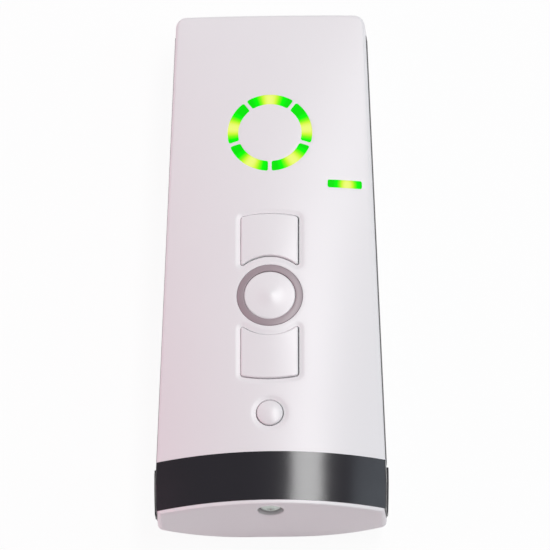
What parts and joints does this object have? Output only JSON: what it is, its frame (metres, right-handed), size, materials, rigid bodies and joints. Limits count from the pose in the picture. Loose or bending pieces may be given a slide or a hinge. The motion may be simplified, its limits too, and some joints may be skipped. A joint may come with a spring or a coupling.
{
  "type": "handheld radio remote control",
  "caption": "Handheld radio transmitter with up, stop and down keys, a round channel key, a lit ring and bar, two small cells and a rear battery door.",
  "frame": {"origin": "middle of the outline, on the flat strip of the back that the transmitter rests on", "axes": "+X across the width, +Y from the screw end to the light end, +Z out of the front with the keys"},
  "size_m": [0.0594, 0.1354, 0.0261],
  "materials": {
    "white_shell": "moulded ABS, glossy, warm white",
    "white_key": "moulded ABS, satin gloss, warm white",
    "black_gloss": "polished black polycarbonate",
    "grey_trim": "soft grey elastomer",
    "grey_ring": "satin grey plastic",
    "green_light": "lit translucent acrylic",
    "white_shield": "matt white reflector",
    "led_body": "ceramic package",
    "green_board": "glass-fibre laminate with green solder mask",
    "black_chip": "moulded epoxy",
    "black_tray": "moulded polyamide",
    "component_body": "fired ceramic",
    "metal_can": "tinned steel",
    "nickel_contact": "nickel-plated spring steel",
    "copper_wire": "enamelled copper",
    "zinc_screw": "zinc-plated steel",
    "cell_jacket": "film sleeve over a metal can"
  },
  "bodies": {
    "housing": {"antenna_wire": "copper_wire", "bar_led": "led_body", "bar_light_guide": "green_light", "bar_light_shield": "white_shield", "battery_bridge_contact": "nickel_contact", "battery_cell_1": "cell_jacket", "battery_cell_2": "cell_jacket", "battery_negative_contact": "nickel_contact", "battery_positive_contact": "nickel_contact", "battery_tray": "black_tray", "black_band": "black_gloss", "board_components": "component_body", "board_screws": "zinc_screw", "channel_switch": "black_chip", "circuit_board": "green_board", "controller_chip": "black_chip", "crystal": "metal_can", "down_switch": "black_chip", "end_screw": "zinc_screw", "front_cover": "white_shell", "radio_module_board": "green_board", "radio_shield_can": "metal_can", "rear_cover": "white_shell", "ring_led_1": "led_body", "ring_led_2": "led_body", "ring_led_3": "led_body", "ring_led_4": "led_body", "ring_led_5": "led_body", "ring_light_guide_1": "green_light", "ring_light_guide_2": "green_light", "ring_light_guide_3": "green_light", "ring_light_guide_4": "green_light", "ring_light_guide_5": "green_light", "ring_light_shield": "white_shield", "side_trim_left": "grey_trim", "side_trim_right": "grey_trim", "stop_key_ring": "grey_ring", "stop_switch": "black_chip", "up_switch": "black_chip"},
    "up_key_body": {"up_key": "white_key", "up_plunger": "black_tray"},
    "stop_key_body": {"stop_key": "white_key", "stop_plunger": "black_tray"},
    "down_key_body": {"down_key": "white_key", "down_plunger": "black_tray"},
    "channel_key_body": {"channel_key": "white_key", "channel_plunger": "black_tray"},
    "door_body": {"battery_door": "white_shell"}
  },
  "joints": [
    {"name": "up_key_press", "type": "slide", "parent": "housing", "child": "up_key_body", "axis": [0, 0, -1], "range_m": [0, 0.0004], "stiffness_N_per_m": 3000, "springref_m": -0.0001},
    {"name": "stop_key_press", "type": "slide", "parent": "housing", "child": "stop_key_body", "axis": [0, 0, -1], "range_m": [0, 0.0004], "stiffness_N_per_m": 3000, "springref_m": -0.0001},
    {"name": "down_key_press", "type": "slide", "parent": "housing", "child": "down_key_body", "axis": [0, 0, -1], "range_m": [0, 0.0004], "stiffness_N_per_m": 3000, "springref_m": -0.0001},
    {"name": "channel_key_press", "type": "slide", "parent": "housing", "child": "channel_key_body", "axis": [0, 0, -1], "range_m": [0, 0.0004], "stiffness_N_per_m": 3000, "springref_m": -0.0001},
    {"name": "battery_door_swing", "type": "hinge", "parent": "housing", "child": "door_body", "pos_m": [0, 0.00525, 0.0001], "axis": [1, 0, 0], "range_deg": [0, 75]}
  ]
}
